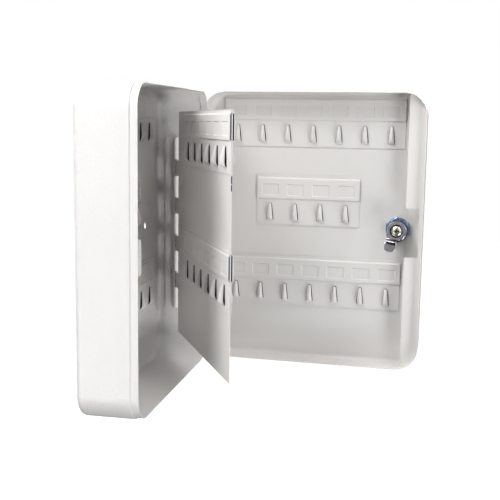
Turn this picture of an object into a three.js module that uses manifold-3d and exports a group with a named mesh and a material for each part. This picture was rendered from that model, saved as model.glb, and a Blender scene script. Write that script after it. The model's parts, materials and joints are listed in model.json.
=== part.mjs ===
// Wall-mounted key cabinet in painted sheet steel: a deep case, a shallow tray-shaped door with a cam
// lock, and a double-sided swing leaf between them, all carrying rows of lanced key hooks.
//
// Millimetres, +Z up. The origin is the centre of the case's back face, which lies against the wall. The
// front faces -Y and the door hinges are on the +X side. Every piece is drawn with the cabinet closed, and
// then the door and the leaf are turned open about their pins.

import * as THREE from 'three';
import { mergeVertices } from 'three/addons/utils/BufferGeometryUtils.js';
import Module from 'manifold-3d';

const wasm = await Module();
wasm.setup();

// Driving dimensions: case and door
const WIDTH = 244;
const HEIGHT = 300;
const CORNER = 24.5; // outer corner radius, seen from the front
const SHEET = 0.8; // thickness of the shells
const CASE_DEPTH = 51; // wall face to the seam
const CASE_FILLET = 4.5; // round between the case's walls and back, outside
const LIP = 7; // how far the case's lip stands into the door
const LIP_INSET = 1.2; // how far the lip steps in from the case's walls
const CLOSED_DEPTH = 80; // wall face to the door's outer face
const DOOR_FILLET = 4;
const SEAM = 0.5; // gap between case and door when closed
const GAP = 0.3; // clearance between separate pieces

// Driving dimensions: hook rails
const RAIL_HEIGHT = 56;
const RAIL_SHEET = 0.8;
const RAIL_MARGIN = 15; // from the end of a rail to its first hook
const HOOK_PITCH = 28.66;
const BAND_RISE = 1.4; // how far the label band stands out from the hook band
const BAND_BOTTOM = 29.5;
const BAND_TOP = 53;
const BAND_SLOPE = 1.2; // height of the slanted steps above and below the label band
const WINDOW = { width: 19.5, height: 13, bottom: 33, depth: 0.4 };
const HOOK = { bottom: 4.3, top: 23.8, baseWidth: 7.4, tipWidth: 3.6, reach: 5.2 };
// Heights of the lower edges of the rails on the case and the door
const RAIL_LEVELS = { top: 90, middle: 2, bottom: -89.5 };
const DOOR_RAIL_SHIFT = { top: 2.5, middle: 7, bottom: 2.5 }; // towards the hinges, clear of the lock
const RAIL_HOOKS = { top: 7, middle: 4, bottom: 7 };

// Driving dimensions: swing leaf
const LEAF_PIN = { x: 118.3, y: -22.5 };
const LEAF_REACH = 223; // pin to free edge
const LEAF_START = 14.5; // pin to the panel's near edge
const LEAF_BOTTOM = -118.5;
const LEAF_TOP = 126.5;
const LEAF_SHEET = 0.8;
const LEAF_RAIL_LEVELS = { top: 70.5, bottom: -54 };
const LEAF_RAIL_HOOKS = 6;
const BRACKET_KNUCKLE = 24; // five of these, with the leaf's knuckles between them
const LEAF_KNUCKLE = 18;
const LEAF_KNUCKLES = 4;
const LEAF_HINGE_TOP = 98;
const LEAF_BARREL = 2.6;
const LEAF_PIN_RADIUS = 1.2;
const LEAF_BORE = 1.5;
const BRACKET_EDGE = -9.5; // the bracket's edge nearest the case back
const BRACKET_FRONT = -16; // where its knuckle tabs begin

// Driving dimensions: door hinges
const DOOR_BARREL = 2;
const DOOR_PIN_RADIUS = 1;
const DOOR_BORE = 1.3;
const DOOR_PIN = { x: WIDTH / 2 + DOOR_BARREL + GAP, y: 2 - CASE_DEPTH };
const BARREL_LENGTH = 18;
const HINGE_TAB = { reach: 12, thickness: 1.2 };
const HINGE_CENTRES = { upper: 98, lower: -98 };

// Driving dimensions: stiffening strip, strike plate and wall holes
const STRIP = { start: 225, plane: -60.2, thickness: 1, flangeHeight: 236, flangeDepth: 12.5 };
const NOTCH = { start: 239.5, bottom: -26.5, top: 27 };
const STRIKE = { reach: 8.5, height: 31.5, centre: -0.75, thickness: 1, flange: 6 };
const WALL_HOLE = { x: 74, z: 4, radius: 3.5 };

// Driving dimensions: cam lock
const LOCK = { x: WIDTH / 2 - 216, z: 2 };
const LOCK_HEAD = { radius: 11, thickness: 2.2 };
const THREAD_RADIUS = 9.5;
const THREAD_END = -62.5;
const PLUG_RADIUS = 5.8;
const PLUG_BORE = 6.2;
const NUT = { acrossFlats: 24, thickness: 6 };
const KEYWAY = { width: 2, height: 7.2, depth: 10 };
const LOCK_WASHER = { radius: 12.6, thickness: 0.9 };
const CAM = { hubRadius: 10.3, thickness: 1.6, tonguePlane: -56.7 };
const CAM_TONGUE = { left: -2, right: 10.1, reach: 23, corner: 4.6 }; // seen from the front, hanging down
// The crank starts this far below the axis. The offset between its faces keeps the sheet's thickness.
const CAM_BEND = { start: 9.4, run: 2.2, offset: 1.06 };
const CAM_SQUARE = 7;
const CAM_WASHER = { radius: 7, thickness: 0.7 };
const CAM_SCREW = { headRadius: 5, headHeight: 2.6, shankRadius: 2, shankLength: 9 };
const CROSS_RECESS = { width: 1.2, length: 5.2, depth: 1.6 };

// Stored pose: the door stands open, the leaf is part open and the cam hangs unlocked
const DOOR_OPEN = THREE.MathUtils.degToRad(87.8);
const LEAF_OPEN = THREE.MathUtils.degToRad(28.66);
const CAM_LEAN = THREE.MathUtils.degToRad(8.5);

// Materials
const paint = { color: 0xe6e4de, roughness: 0.42, metalness: 0 };
const zinc = { color: 0xb9c3cc, roughness: 0.28, metalness: 1 };
const nickel = { color: 0xc9c7bf, roughness: 0.22, metalness: 1 };
const yellowZinc = { color: 0xd8cfa0, roughness: 0.3, metalness: 1 };

// ---------------------------------------------------------------- helpers

function solid(geometry) {
  const bare = geometry.clone();
  bare.deleteAttribute('normal');
  bare.deleteAttribute('uv');
  const merged = mergeVertices(bare, 1e-4);
  return new wasm.Manifold(new wasm.Mesh({
    numProp: 3,
    vertProperties: new Float32Array(merged.attributes.position.array),
    triVerts: new Uint32Array(merged.index.array),
  }));
}

function part(name, body, finish) {
  const mesh = body.getMesh();
  const geometry = new THREE.BufferGeometry();
  geometry.setAttribute('position', new THREE.BufferAttribute(mesh.vertProperties, 3));
  geometry.setIndex(new THREE.BufferAttribute(mesh.triVerts, 1));
  geometry.computeVertexNormals();
  const node = new THREE.Mesh(geometry, new THREE.MeshStandardMaterial(finish));
  node.name = name;
  return node;
}

function box(x0, x1, y0, y1, z0, z1) {
  const geometry = new THREE.BoxGeometry(x1 - x0, y1 - y0, z1 - z0);
  geometry.translate((x0 + x1) / 2, (y0 + y1) / 2, (z0 + z1) / 2);
  return solid(geometry);
}

// A cylinder along Z
function pillar(radius, x, y, z0, z1, sides = 24) {
  const geometry = new THREE.CylinderGeometry(radius, radius, z1 - z0, sides);
  geometry.rotateX(Math.PI / 2);
  geometry.translate(x, y, (z0 + z1) / 2);
  return solid(geometry);
}

// A cylinder along Y, from y0 back to y1
function spindle(radius, x, z, y0, y1, sides = 32) {
  const geometry = new THREE.CylinderGeometry(radius, radius, y1 - y0, sides);
  geometry.translate(x, (y0 + y1) / 2, z);
  return solid(geometry);
}

function roundedOutline(width, height, radius) {
  const x = width / 2 - radius;
  const y = height / 2 - radius;
  const shape = new THREE.Shape();
  shape.absarc(x, y, radius, 0, Math.PI / 2);
  shape.absarc(-x, y, radius, Math.PI / 2, Math.PI);
  shape.absarc(-x, -y, radius, Math.PI, 1.5 * Math.PI);
  shape.absarc(x, -y, radius, 1.5 * Math.PI, 2 * Math.PI);
  shape.closePath();
  return shape;
}

// Extrudes a front-view outline towards the front, from y = back
function towardsFront(shape, back, depth, extra = {}) {
  const options = { depth, bevelEnabled: false, curveSegments: 8, ...extra };
  const geometry = new THREE.ExtrudeGeometry(shape, options);
  geometry.rotateX(Math.PI / 2);
  geometry.translate(0, back, 0);
  return geometry;
}

// A rounded-rectangle block with a round all along its back edge, from y = back to y = front
function pan(inset, back, front, fillet) {
  const shape = roundedOutline(WIDTH - 2 * inset, HEIGHT - 2 * inset, CORNER - inset);
  const bevel = {
    bevelEnabled: true,
    bevelSize: fillet,
    bevelOffset: -fillet,
    bevelThickness: fillet,
    bevelSegments: 3,
  };
  const over = 30; // runs past the front, where it is cut off square
  const geometry = towardsFront(shape, back - fillet, back - front + over, bevel);
  return solid(geometry).subtract(box(-WIDTH, WIDTH, front - 2 * over, front, -HEIGHT, HEIGHT));
}

function straightPan(inset, back, front) {
  const shape = roundedOutline(WIDTH - 2 * inset, HEIGHT - 2 * inset, CORNER - inset);
  return solid(towardsFront(shape, back, back - front));
}

// Extrudes a side-view profile of [distance out from the surface, height] points along X, centred on x = 0
function alongX(profile, length) {
  const shape = new THREE.Shape(profile.map(([out, up]) => new THREE.Vector2(out, up)));
  const geometry = new THREE.ExtrudeGeometry(shape, { depth: length, bevelEnabled: false });
  geometry.translate(0, 0, -length / 2);
  const axes = new THREE.Matrix4().makeBasis(
    new THREE.Vector3(0, -1, 0),
    new THREE.Vector3(0, 0, 1),
    new THREE.Vector3(-1, 0, 0),
  );
  return geometry.applyMatrix4(axes);
}

// Turns closed-position meshes about a vertical pin
function hung(pin, angle, meshes) {
  const offset = new THREE.Group();
  offset.position.set(-pin.x, -pin.y, 0);
  offset.add(...meshes);
  const leaf = new THREE.Group();
  leaf.position.set(pin.x, pin.y, 0);
  leaf.rotation.z = angle;
  leaf.add(offset);
  return leaf;
}

// ---------------------------------------------------------------- hook rails

// Front view of a tapered tongue with a round tip, grown all round by `grow`
function tongueOutline(grow, bottom) {
  const tip = HOOK.tipWidth / 2 + grow;
  const base = HOOK.baseWidth / 2 + grow;
  const shape = new THREE.Shape();
  shape.moveTo(-base, bottom);
  shape.lineTo(base, bottom);
  shape.absarc(0, HOOK.top - HOOK.tipWidth / 2, tip, 0, Math.PI);
  shape.closePath();
  return shape;
}

// One tongue: it leaves the rail at the bottom, bows out and leans back at its free tip
function hookTongue() {
  const face = GAP + RAIL_SHEET;
  const reach = face + HOOK.reach;
  const t = RAIL_SHEET;
  const strip = alongX([
    [GAP, HOOK.bottom],
    [face, HOOK.bottom],
    [reach, HOOK.bottom + 4],
    [reach - 0.9, HOOK.top - 8],
    [face + 1.6, HOOK.top],
    [face + 0.8, HOOK.top],
    [reach - 0.9 - t, HOOK.top - 8],
    [reach - t, HOOK.bottom + 4.8],
    [face, HOOK.bottom + 1.4],
    [GAP, HOOK.bottom + 1.4],
  ], HOOK.baseWidth + 2);
  const outline = towardsFront(tongueOutline(0, HOOK.bottom - 1), 0, reach + 1, { curveSegments: 4 });
  return solid(strip).intersect(solid(outline));
}

function railProfile() {
  const face = GAP + RAIL_SHEET;
  return [
    [GAP, 0],
    [face, 0],
    [face, BAND_BOTTOM - BAND_SLOPE],
    [face + BAND_RISE, BAND_BOTTOM],
    [face + BAND_RISE, BAND_TOP],
    [face, BAND_TOP + BAND_SLOPE],
    [face, RAIL_HEIGHT],
    [GAP, RAIL_HEIGHT],
    [GAP, BAND_TOP + BAND_SLOPE - 0.4],
    [GAP + BAND_RISE, BAND_TOP - 0.4],
    [GAP + BAND_RISE, BAND_BOTTOM + 0.4],
    [GAP, BAND_BOTTOM - BAND_SLOPE + 0.4],
  ];
}

const railWidth = (hooks) => (hooks - 1) * HOOK_PITCH + 2 * RAIL_MARGIN;

// A rail centred on x = 0 with its lower edge at z = 0, standing on the plane y = 0 and facing -Y
function hookRail(hooks) {
  const bandFace = -(GAP + RAIL_SHEET + BAND_RISE);
  const tongue = hookTongue();
  const opening = solid(towardsFront(
    tongueOutline(0.5, HOOK.bottom + 1.4), 0, GAP + RAIL_SHEET + 0.1, { curveSegments: 4 }));
  let rail = solid(alongX(railProfile(), railWidth(hooks)));
  for (let i = 0; i < hooks; i += 1) {
    const x = (i - (hooks - 1) / 2) * HOOK_PITCH;
    const window = box(
      x - WINDOW.width / 2, x + WINDOW.width / 2,
      bandFace - 1, bandFace + WINDOW.depth,
      WINDOW.bottom, WINDOW.bottom + WINDOW.height);
    rail = rail.subtract(window).subtract(opening.translate([x, 0, 0])).add(tongue.translate([x, 0, 0]));
  }
  return rail;
}

// Puts a rail on a vertical surface. facing is -1 for a surface that faces the front, and 1 for one that
// faces the wall.
function placedRail(name, hooks, x, y, z, facing) {
  const node = part(name, hookRail(hooks), paint);
  if (facing > 0) {
    node.geometry.rotateZ(Math.PI);
  }
  node.geometry.translate(x, y, z);
  return node;
}

// ---------------------------------------------------------------- case

function caseShell() {
  const lip = straightPan(LIP_INSET, -CASE_DEPTH + 2, -CASE_DEPTH - LIP);
  const hollow = pan(SHEET, -SHEET, -CASE_DEPTH + SHEET, CASE_FILLET - SHEET);
  const mouth = straightPan(LIP_INSET + SHEET, -CASE_DEPTH / 2, -CASE_DEPTH - LIP - 1);
  let shell = pan(0, 0, -CASE_DEPTH, CASE_FILLET).add(lip).subtract(hollow).subtract(mouth);
  for (const side of [-1, 1]) {
    shell = shell.subtract(spindle(WALL_HOLE.radius, side * WALL_HOLE.x, WALL_HOLE.z, -5, 5));
  }
  return part('case_shell', shell, paint);
}

// A tab welded inside the case's lip, which the lock's cam turns behind
function strikePlate() {
  const wall = -(WIDTH / 2 - LIP_INSET - SHEET - 0.2);
  const front = -CASE_DEPTH - LIP;
  const z0 = STRIKE.centre - STRIKE.height / 2;
  const z1 = STRIKE.centre + STRIKE.height / 2;
  const tab = box(wall, wall + STRIKE.reach, front, front + STRIKE.thickness, z0, z1);
  const flange = box(wall, wall + STRIKE.thickness, front, front + STRIKE.flange, z0, z1);
  return part('strike_plate', tab.add(flange), paint);
}

const KNUCKLE_PITCH = LEAF_KNUCKLE + BRACKET_KNUCKLE;
const LEAF_HINGE_BOTTOM = LEAF_HINGE_TOP - BRACKET_KNUCKLE - LEAF_KNUCKLES * KNUCKLE_PITCH;

// Heights of the lower ends of the leaf's and the bracket's knuckles, from the top of the hinge down
function knuckleLevels() {
  const leaf = [];
  const bracket = [];
  for (let i = 0; i <= LEAF_KNUCKLES; i += 1) {
    bracket.push(LEAF_HINGE_TOP - BRACKET_KNUCKLE - i * KNUCKLE_PITCH);
  }
  for (let i = 0; i < LEAF_KNUCKLES; i += 1) {
    leaf.push(LEAF_HINGE_TOP - (i + 1) * KNUCKLE_PITCH);
  }
  return { leaf, bracket };
}

// A strip on the case's side wall, with tabs that are rolled round the leaf's pin
function leafHingeBracket() {
  const outer = LEAF_PIN.x + LEAF_BARREL;
  const inner = outer - LEAF_SHEET;
  let bracket = box(inner, outer, BRACKET_FRONT, BRACKET_EDGE, LEAF_HINGE_BOTTOM, LEAF_HINGE_TOP);
  for (const level of knuckleLevels().bracket) {
    const z0 = level + GAP;
    const z1 = level + BRACKET_KNUCKLE - GAP;
    bracket = bracket.add(box(inner, outer, LEAF_PIN.y, BRACKET_FRONT + 1, z0, z1));
    bracket = bracket.add(pillar(LEAF_BARREL, LEAF_PIN.x, LEAF_PIN.y, z0, z1, 20));
  }
  const bore = pillar(LEAF_BORE, LEAF_PIN.x, LEAF_PIN.y, -HEIGHT, HEIGHT, 16);
  return part('leaf_hinge_bracket', bracket.subtract(bore), paint);
}

function leafHingePin() {
  const { x, y } = LEAF_PIN;
  const pin = pillar(LEAF_PIN_RADIUS, x, y, LEAF_HINGE_BOTTOM, LEAF_HINGE_TOP, 12);
  return part('leaf_hinge_pin', pin, zinc);
}

// Half of a weld-on door hinge: a barrel on the pin and a tab on the shell's side wall
function hingeHalf(name, z0, towards) {
  const { x, y } = DOOR_PIN;
  const z1 = z0 + BARREL_LENGTH;
  const inner = x - DOOR_BARREL;
  const reach = y + towards * HINGE_TAB.reach;
  const tab = box(
    inner, inner + HINGE_TAB.thickness, Math.min(y, reach), Math.max(y, reach), z0 + 1, z1 - 1);
  const barrel = pillar(DOOR_BARREL, x, y, z0, z1, 20);
  const bore = pillar(DOOR_BORE, x, y, z0 - 1, z1 + 1, 16);
  return part(name, tab.add(barrel).subtract(bore), paint);
}

const HINGES = Object.entries(HINGE_CENTRES);

function caseHingePieces() {
  return HINGES.flatMap(([where, centre]) => {
    const pin = pillar(
      DOOR_PIN_RADIUS, DOOR_PIN.x, DOOR_PIN.y, centre - BARREL_LENGTH, centre + BARREL_LENGTH, 12);
    return [
      hingeHalf(`${where}_hinge_case_half`, centre - BARREL_LENGTH - GAP / 2, 1),
      part(`${where}_hinge_pin`, pin, zinc),
    ];
  });
}

function doorHingePieces() {
  return HINGES.map(([where, centre]) => hingeHalf(`${where}_hinge_door_half`, centre + GAP / 2, -1));
}

function caseRails() {
  return Object.entries(RAIL_LEVELS).map(([where, z]) =>
    placedRail(`back_rail_${where}`, RAIL_HOOKS[where], 0, -SHEET, z, -1));
}

// ---------------------------------------------------------------- door

const RIM = -CASE_DEPTH - SEAM;

function doorShell() {
  // Drawn as a pan that opens towards the wall: made facing forward, then turned end for end
  const depth = CLOSED_DEPTH + RIM;
  const tray = pan(0, 0, -depth, DOOR_FILLET).subtract(pan(SHEET, -SHEET, -depth - 1, DOOR_FILLET - SHEET));
  const node = part('door_shell', tray, paint);
  node.geometry.rotateZ(Math.PI);
  node.geometry.translate(0, -CLOSED_DEPTH, 0);
  const hole = spindle(THREAD_RADIUS + GAP, LOCK.x, LOCK.z, -CLOSED_DEPTH - 2, -CLOSED_DEPTH + 3);
  return part('door_shell', solid(node.geometry).subtract(hole), paint);
}

// A stiffening plate along the free side, cut away round the lock, with a flange on the door's side wall
function doorEdgeStrip() {
  const start = WIDTH / 2 - STRIP.start;
  const wall = -(WIDTH / 2 - SHEET - GAP);
  const shape = roundedOutline(2 * -wall, HEIGHT - 2 * (SHEET + GAP), CORNER - SHEET - GAP);
  const plate = solid(towardsFront(shape, STRIP.plane, STRIP.thickness));
  const beyond = box(start, WIDTH, STRIP.plane - 5, STRIP.plane + 5, -HEIGHT, HEIGHT);
  const notch = box(
    WIDTH / 2 - NOTCH.start, WIDTH, STRIP.plane - 5, STRIP.plane + 5, NOTCH.bottom, NOTCH.top);
  const flange = box(
    wall, wall + STRIP.thickness,
    STRIP.plane - STRIP.flangeDepth, STRIP.plane,
    -STRIP.flangeHeight / 2, STRIP.flangeHeight / 2);
  return part('door_edge_strip', plate.subtract(beyond).subtract(notch).add(flange), paint);
}

function doorRails() {
  const floor = -CLOSED_DEPTH + SHEET;
  return Object.entries(RAIL_LEVELS).map(([where, z]) =>
    placedRail(`door_rail_${where}`, RAIL_HOOKS[where], DOOR_RAIL_SHIFT[where], floor, z, 1));
}

// ---------------------------------------------------------------- lock

function lockBody() {
  const head = spindle(
    LOCK_HEAD.radius, LOCK.x, LOCK.z, -CLOSED_DEPTH - GAP - LOCK_HEAD.thickness, -CLOSED_DEPTH - GAP);
  const thread = spindle(THREAD_RADIUS, LOCK.x, LOCK.z, -CLOSED_DEPTH - GAP - 1, THREAD_END);
  const bore = spindle(PLUG_BORE, LOCK.x, LOCK.z, -CLOSED_DEPTH - 9, THREAD_END + 1);
  return part('lock_body', head.add(thread).subtract(bore), nickel);
}

const WASHER_BACK = -CLOSED_DEPTH + SHEET + GAP;
const NUT_BACK = WASHER_BACK + LOCK_WASHER.thickness + GAP;

function lockWasher() {
  const face = WASHER_BACK + LOCK_WASHER.thickness;
  const disc = spindle(LOCK_WASHER.radius, LOCK.x, LOCK.z, WASHER_BACK, face);
  const hole = spindle(THREAD_RADIUS + GAP, LOCK.x, LOCK.z, WASHER_BACK - 1, face + 1);
  return part('lock_washer', disc.subtract(hole), zinc);
}

function lockNut() {
  const corner = NUT.acrossFlats / Math.sqrt(3);
  const hexagon = spindle(corner, LOCK.x, LOCK.z, NUT_BACK, NUT_BACK + NUT.thickness, 6);
  const hole = spindle(THREAD_RADIUS + GAP, LOCK.x, LOCK.z, NUT_BACK - 1, NUT_BACK + NUT.thickness + 1);
  return part('lock_nut', hexagon.subtract(hole), zinc);
}

const PLUG_END = THREAD_END + GAP;
const CAM_BACK = PLUG_END + GAP;
const CAM_FACE = CAM_BACK + CAM.thickness;

// The plug with its keyway outside and, inside, a square end that drives the cam. Built on the lock's axis.
function lockPlug() {
  const face = -CLOSED_DEPTH - LOCK_HEAD.thickness;
  const barrel = spindle(PLUG_RADIUS, 0, 0, face, PLUG_END);
  const half = CAM_SQUARE / 2;
  const square = box(-half, half, PLUG_END - 1, CAM_FACE, -half, half);
  const keyway = box(
    -KEYWAY.width / 2, KEYWAY.width / 2,
    face - 1, face + KEYWAY.depth,
    -KEYWAY.height / 2, KEYWAY.height / 2);
  const tapped = spindle(
    CAM_SCREW.shankRadius + GAP, 0, 0, CAM_FACE - CAM_SCREW.shankLength - 1, CAM_FACE + 1, 16);
  return part('lock_plug', barrel.add(square).subtract(keyway).subtract(tapped), nickel);
}

function camTongueOutline() {
  const { left, right, reach, corner } = CAM_TONGUE;
  const shape = new THREE.Shape();
  shape.moveTo(right, 0);
  shape.lineTo(left, 0);
  shape.absarc(left + corner, corner - reach, corner, Math.PI, 1.5 * Math.PI);
  shape.absarc(right - corner, corner - reach, corner, 1.5 * Math.PI, 2 * Math.PI);
  shape.closePath();
  return shape;
}

// A cranked cam: its hub sits on the plug, and its tongue starts level with the hub's hinge side and steps
// towards the case
function lockCam() {
  const hub = spindle(CAM.hubRadius, 0, 0, CAM_BACK, CAM_FACE);
  const back = -CAM_BACK;
  const tongueBack = -CAM.tonguePlane;
  const t = CAM.thickness;
  const bend = -CAM_BEND.start;
  const level = bend - CAM_BEND.run;
  const crank = alongX([
    [back, 0],
    [back - t, 0],
    [back - t, bend],
    [tongueBack - t, level],
    [tongueBack - t, -CAM_TONGUE.reach - 1],
    [tongueBack, -CAM_TONGUE.reach - 1],
    [tongueBack, level - CAM_BEND.offset],
    [back, bend - CAM_BEND.offset],
  ], 2 * CAM_TONGUE.reach);
  const outline = towardsFront(camTongueOutline(), CAM.tonguePlane + 2 * t, CLOSED_DEPTH);
  const tongue = solid(crank).intersect(solid(outline));
  const half = CAM_SQUARE / 2 + GAP;
  const square = box(-half, half, CAM_BACK - 1, CAM_FACE + 1, -half, half);
  return part('lock_cam', hub.add(tongue).subtract(square), zinc);
}

function camWasher() {
  const back = CAM_FACE + GAP;
  const disc = spindle(CAM_WASHER.radius, 0, 0, back, back + CAM_WASHER.thickness);
  const hole = spindle(CAM_SCREW.shankRadius + GAP, 0, 0, back - 1, back + 2, 16);
  return part('lock_cam_washer', disc.subtract(hole), zinc);
}

// Pan head with a cross recess
function camScrew() {
  const under = CAM_FACE + GAP + CAM_WASHER.thickness + GAP;
  const top = under + CAM_SCREW.headHeight;
  const dome = new THREE.LatheGeometry([
    new THREE.Vector2(0, 0),
    new THREE.Vector2(CAM_SCREW.headRadius, 0),
    new THREE.Vector2(CAM_SCREW.headRadius, CAM_SCREW.headHeight * 0.35),
    new THREE.Vector2(CAM_SCREW.headRadius * 0.8, CAM_SCREW.headHeight * 0.85),
    new THREE.Vector2(CAM_SCREW.headRadius * 0.4, CAM_SCREW.headHeight),
    new THREE.Vector2(0, CAM_SCREW.headHeight),
  ], 24);
  dome.translate(0, under, 0);
  const shank = spindle(CAM_SCREW.shankRadius, 0, 0, under - CAM_SCREW.shankLength, under + 0.5, 16);
  const floor = top - CROSS_RECESS.depth;
  const width = CROSS_RECESS.width / 2;
  const length = CROSS_RECESS.length / 2;
  const slot = box(-width, width, floor, top + 1, -length, length);
  const cross = box(-length, length, floor, top + 1, -width, width);
  return part('lock_cam_screw', solid(dome).add(shank).subtract(slot).subtract(cross), yellowZinc);
}

function lockRotor() {
  const rotor = new THREE.Group();
  rotor.position.set(LOCK.x, 0, LOCK.z);
  rotor.rotation.y = -CAM_LEAN;
  rotor.add(lockPlug(), lockCam(), camWasher(), camScrew());
  return rotor;
}

// ---------------------------------------------------------------- swing leaf

// The leaf's sheet, with tabs at its hinge side that are rolled round the pin
function leafPanel() {
  const { x, y } = LEAF_PIN;
  const half = LEAF_SHEET / 2;
  const near = x - LEAF_START;
  let panel = box(x - LEAF_REACH, near, y - half, y + half, LEAF_BOTTOM, LEAF_TOP);
  for (const level of knuckleLevels().leaf) {
    const z0 = level + GAP;
    const z1 = level + LEAF_KNUCKLE - GAP;
    panel = panel.add(box(near - 1, x, y - half, y + half, z0, z1));
    panel = panel.add(pillar(LEAF_BARREL, x, y, z0, z1, 20));
  }
  return part('leaf_panel', panel.subtract(pillar(LEAF_BORE, x, y, -HEIGHT, HEIGHT, 16)), paint);
}

function leafRails() {
  const centre = LEAF_PIN.x - LEAF_REACH + 0.5 + railWidth(LEAF_RAIL_HOOKS) / 2;
  const half = LEAF_SHEET / 2;
  return Object.entries(LEAF_RAIL_LEVELS).flatMap(([where, z]) => [
    placedRail(`leaf_rail_${where}_inner`, LEAF_RAIL_HOOKS, centre, LEAF_PIN.y + half, z, 1),
    placedRail(`leaf_rail_${where}_outer`, LEAF_RAIL_HOOKS, centre, LEAF_PIN.y - half, z, -1),
  ]);
}

// ---------------------------------------------------------------- assembly

const cabinet = new THREE.Group();
cabinet.add(
  caseShell(),
  ...caseRails(),
  strikePlate(),
  leafHingeBracket(),
  leafHingePin(),
  ...caseHingePieces(),
  hung(DOOR_PIN, DOOR_OPEN, [
    doorShell(),
    doorEdgeStrip(),
    ...doorRails(),
    ...doorHingePieces(),
    lockBody(),
    lockWasher(),
    lockNut(),
    lockRotor(),
  ]),
  hung(LEAF_PIN, LEAF_OPEN, [leafPanel(), ...leafRails()]),
);

export default cabinet;
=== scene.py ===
"""Looks for a wall-mounted key cabinet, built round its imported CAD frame.

Every painted or plated piece is modelled here in fine mesh: pressed shells with soft corners, hook rails with
debossed windows and lanced hooks, rolled hinge knuckles and the cam lock's hardware. Pieces are drawn in
millimetres with the cabinet closed, as part of the same design as the CAD, and are then turned open about the
joints' axes and scaled to metres.
"""

import json
import math

import bmesh
import bpy
from mathutils import Matrix, Vector
from mathutils.geometry import tessellate_polygon


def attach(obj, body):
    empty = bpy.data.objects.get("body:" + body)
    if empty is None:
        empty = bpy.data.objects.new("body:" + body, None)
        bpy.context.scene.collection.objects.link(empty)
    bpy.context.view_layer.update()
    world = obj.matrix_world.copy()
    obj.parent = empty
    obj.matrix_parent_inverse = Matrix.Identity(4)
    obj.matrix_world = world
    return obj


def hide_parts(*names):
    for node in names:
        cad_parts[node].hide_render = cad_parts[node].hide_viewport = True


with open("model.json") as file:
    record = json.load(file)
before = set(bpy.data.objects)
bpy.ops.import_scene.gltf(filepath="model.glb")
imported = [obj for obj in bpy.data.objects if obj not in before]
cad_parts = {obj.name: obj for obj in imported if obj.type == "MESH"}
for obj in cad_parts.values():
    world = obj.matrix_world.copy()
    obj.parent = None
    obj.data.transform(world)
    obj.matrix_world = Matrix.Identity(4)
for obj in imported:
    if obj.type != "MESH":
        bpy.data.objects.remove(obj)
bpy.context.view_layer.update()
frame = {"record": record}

MM = 0.001
JOINTS = {joint["name"]: joint for joint in frame["record"]["behaviour"]["joints"]}

# Driving dimensions, in millimetres with the cabinet closed: case and door
WIDTH = 244
HEIGHT = 300
CORNER = 24.5
SHEET = 0.8
CASE_DEPTH = 51
CASE_FILLET = 5.5
LIP = 7
LIP_INSET = 1.2
CLOSED_DEPTH = 80
DOOR_FILLET = 6
SEAM = 0.5
RIM = -CASE_DEPTH - SEAM
FACE = -CLOSED_DEPTH
DOOR_OPEN = math.radians(87.8)
LEAF_OPEN = math.radians(28.66)

# Hook rails
RAIL_HEIGHT = 56
RAIL_SHEET = 0.8
RAIL_BACK = 0.15
RAIL_MARGIN = 15
HOOK_PITCH = 28.66
BAND = {"bottom": 30.1, "top": 51.9, "rise": 1.3, "slope": 1.7}
# A window's slope is the width of its pressed edge. The sheet's grid follows that edge with lines at these
# distances inwards from the window's outline.
WINDOW = {"width": 19.5, "height": 13, "bottom": 33, "depth": 0.6, "corner": 1.6, "slope": 0.7}
WINDOW_GRID = (-0.3, 0, 0.18, 0.35, 0.53, 0.7, 1.2, 1.7)
HOOK_BOTTOM = 4.3
HOOK_TOP = 23.8
HOOK_BASE_HALF = 3.3
HOOK_TIP_HALF = 1.35
RAIL_LEVELS = {"top": 90, "middle": 2, "bottom": -89.5}
RAIL_HOOKS = {"top": 7, "middle": 4, "bottom": 7}
DOOR_RAIL_SHIFT = {"top": 2.5, "middle": 7, "bottom": 2.5}

# Swing leaf
LEAF_PIN = (118.3, -22.5)
LEAF_REACH = 223
LEAF_START = 14.5
LEAF_BOTTOM = -118.5
LEAF_TOP = 126.5
LEAF_SHEET = 0.8
LEAF_RAIL_LEVELS = {"top": 70.5, "bottom": -54}
LEAF_RAIL_HOOKS = 6
BRACKET_KNUCKLE = 24
LEAF_KNUCKLE = 18
LEAF_KNUCKLES = 4
LEAF_HINGE_TOP = 98
LEAF_BARREL = 2.6
LEAF_PIN_RADIUS = 1.2
LEAF_BORE = 1.5
LEAF_SLITS = ((55.6, 61.5), (62.2, 69))
LEAF_SLIT_WIDTH = 0.9
BRACKET_EDGE = -9.5
BRACKET_FRONT = -16
KNUCKLE_PITCH = LEAF_KNUCKLE + BRACKET_KNUCKLE
HINGE_CLEARANCE = 0.3
LEAF_HINGE_BOTTOM = LEAF_HINGE_TOP - BRACKET_KNUCKLE - LEAF_KNUCKLES * KNUCKLE_PITCH

# Door hinges
DOOR_BARREL = 2
DOOR_PIN_RADIUS = 1
DOOR_BORE = 1.3
DOOR_PIN = (WIDTH / 2 + DOOR_BARREL + HINGE_CLEARANCE, 2 - CASE_DEPTH)
BARREL_LENGTH = 18
HINGE_TAB_REACH = 12
HINGE_CENTRES = {"upper": 98, "lower": -98}

# Stiffening strip, strike plate and wall holes
STRIP = {"start": 225, "plane": -60.2, "thickness": 1, "flange_height": 236, "flange_depth": 12.5}
NOTCH = {"start": 239.5, "bottom": -26.5, "top": 27}
STRIKE = {"reach": 8.5, "height": 31.5, "centre": -0.75, "thickness": 1, "flange": 6}
WALL_HOLE = {"x": 74, "z": 4, "radius": 3.5}
WELD_GAP = 0.1

# Cam lock
LOCK = (WIDTH / 2 - 216, 2)
LOCK_HOLE = 9.9
CAM_LEAN = math.radians(8.5)


# ------------------------------------------------------------------ placing

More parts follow.
